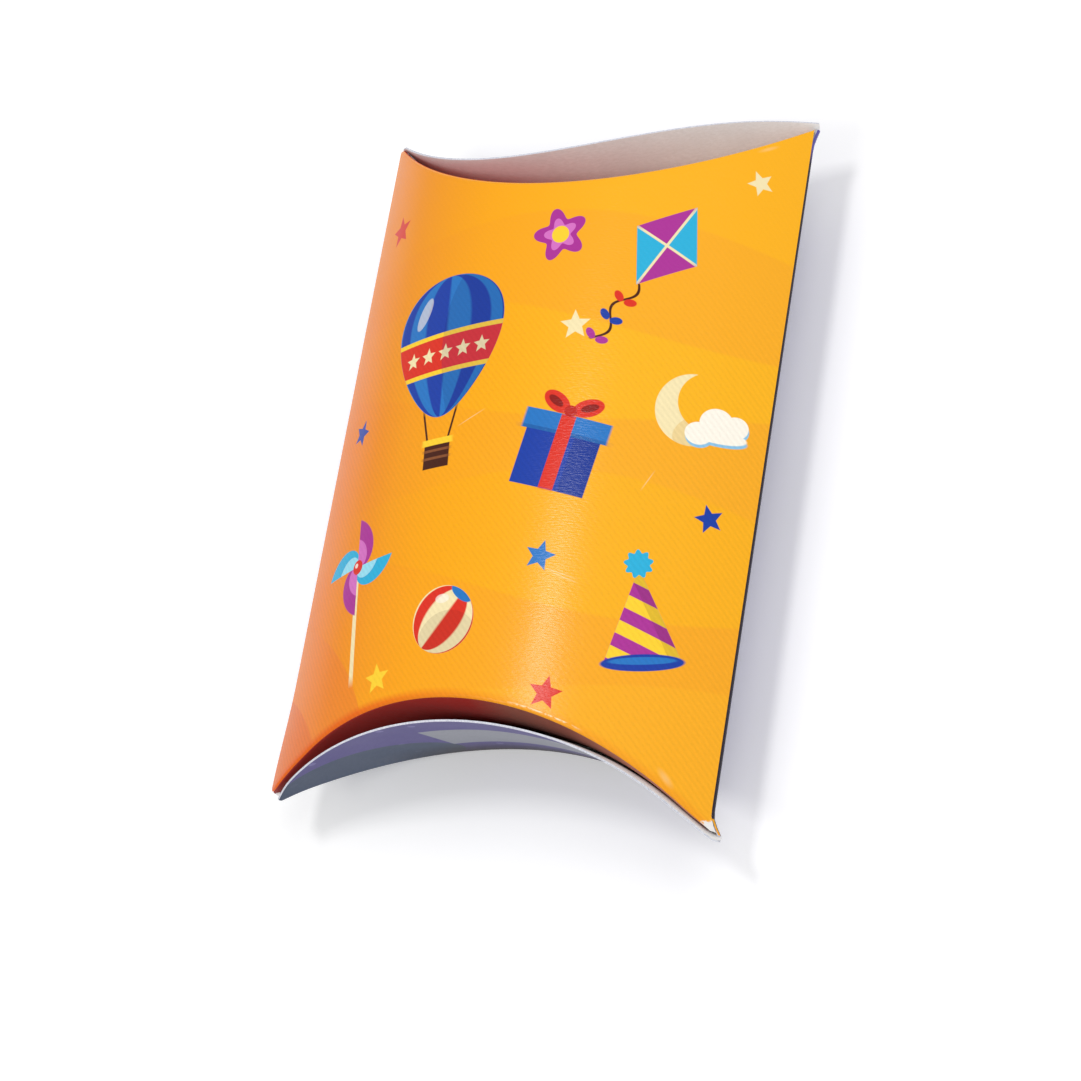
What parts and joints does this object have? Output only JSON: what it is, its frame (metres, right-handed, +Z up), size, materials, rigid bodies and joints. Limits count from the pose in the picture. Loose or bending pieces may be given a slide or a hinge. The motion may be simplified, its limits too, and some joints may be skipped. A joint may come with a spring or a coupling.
{
  "type": "pillow box",
  "caption": "Printed paperboard pillow box with bowed front and back panels, long side folds, a glued seam and curved end flaps that hinge on their creases.",
  "frame": {"origin": "under the middle of the box, on the surface that its back panel lies on", "axes": "+Y along the length towards the top end, +X across the width towards the glued side, +Z up through the front panel"},
  "size_m": [0.1048, 0.1605, 0.0416],
  "materials": {
    "front_board": "coated paperboard printed orange, satin varnish",
    "back_board": "coated paperboard printed lilac, satin varnish",
    "plain_board": "uncoated white inside of the paperboard",
    "adhesive": "dried dispersion glue"
  },
  "bodies": {
    "shell": {"front_panel": "front_board", "back_panel": "back_board", "left_fold": "front_board", "right_fold": "back_board", "glue_tab": "plain_board", "glue_line": "adhesive"},
    "top_tuck": {"top_tuck_flap": "front_board", "top_tuck_crease": "front_board"},
    "top_cover": {"top_cover_flap": "back_board", "top_cover_crease": "back_board"},
    "bottom_tuck": {"bottom_tuck_flap": "front_board", "bottom_tuck_crease": "front_board"},
    "bottom_cover": {"bottom_cover_flap": "back_board", "bottom_cover_crease": "back_board"}
  },
  "joints": [
    {"name": "top_cover_hinge", "type": "hinge", "parent": "shell", "child": "top_cover", "pos_m": [0, 0.05974, 0], "axis": [-1, 0, 0], "range_deg": [0, 85], "stiffness_Nm_per_rad": 0.004},
    {"name": "top_tuck_hinge", "type": "hinge", "parent": "shell", "child": "top_tuck", "pos_m": [0, 0.0589, 0.0416], "axis": [1, 0, 0], "range_deg": [0, 42.5]},
    {"name": "bottom_cover_hinge", "type": "hinge", "parent": "shell", "child": "bottom_cover", "pos_m": [0, -0.05977, 0], "axis": [1, 0, 0], "range_deg": [0, 90], "stiffness_Nm_per_rad": 0.004},
    {"name": "bottom_tuck_hinge", "type": "hinge", "parent": "shell", "child": "bottom_tuck", "pos_m": [0, -0.0589, 0.0416], "axis": [-1, 0, 0], "range_deg": [0, 45]}
  ],
  "couplings": [
    {"joint": "top_tuck_hinge", "follows": "top_cover_hinge", "ratio": 0.5},
    {"joint": "bottom_tuck_hinge", "follows": "bottom_cover_hinge", "ratio": 0.5}
  ]
}
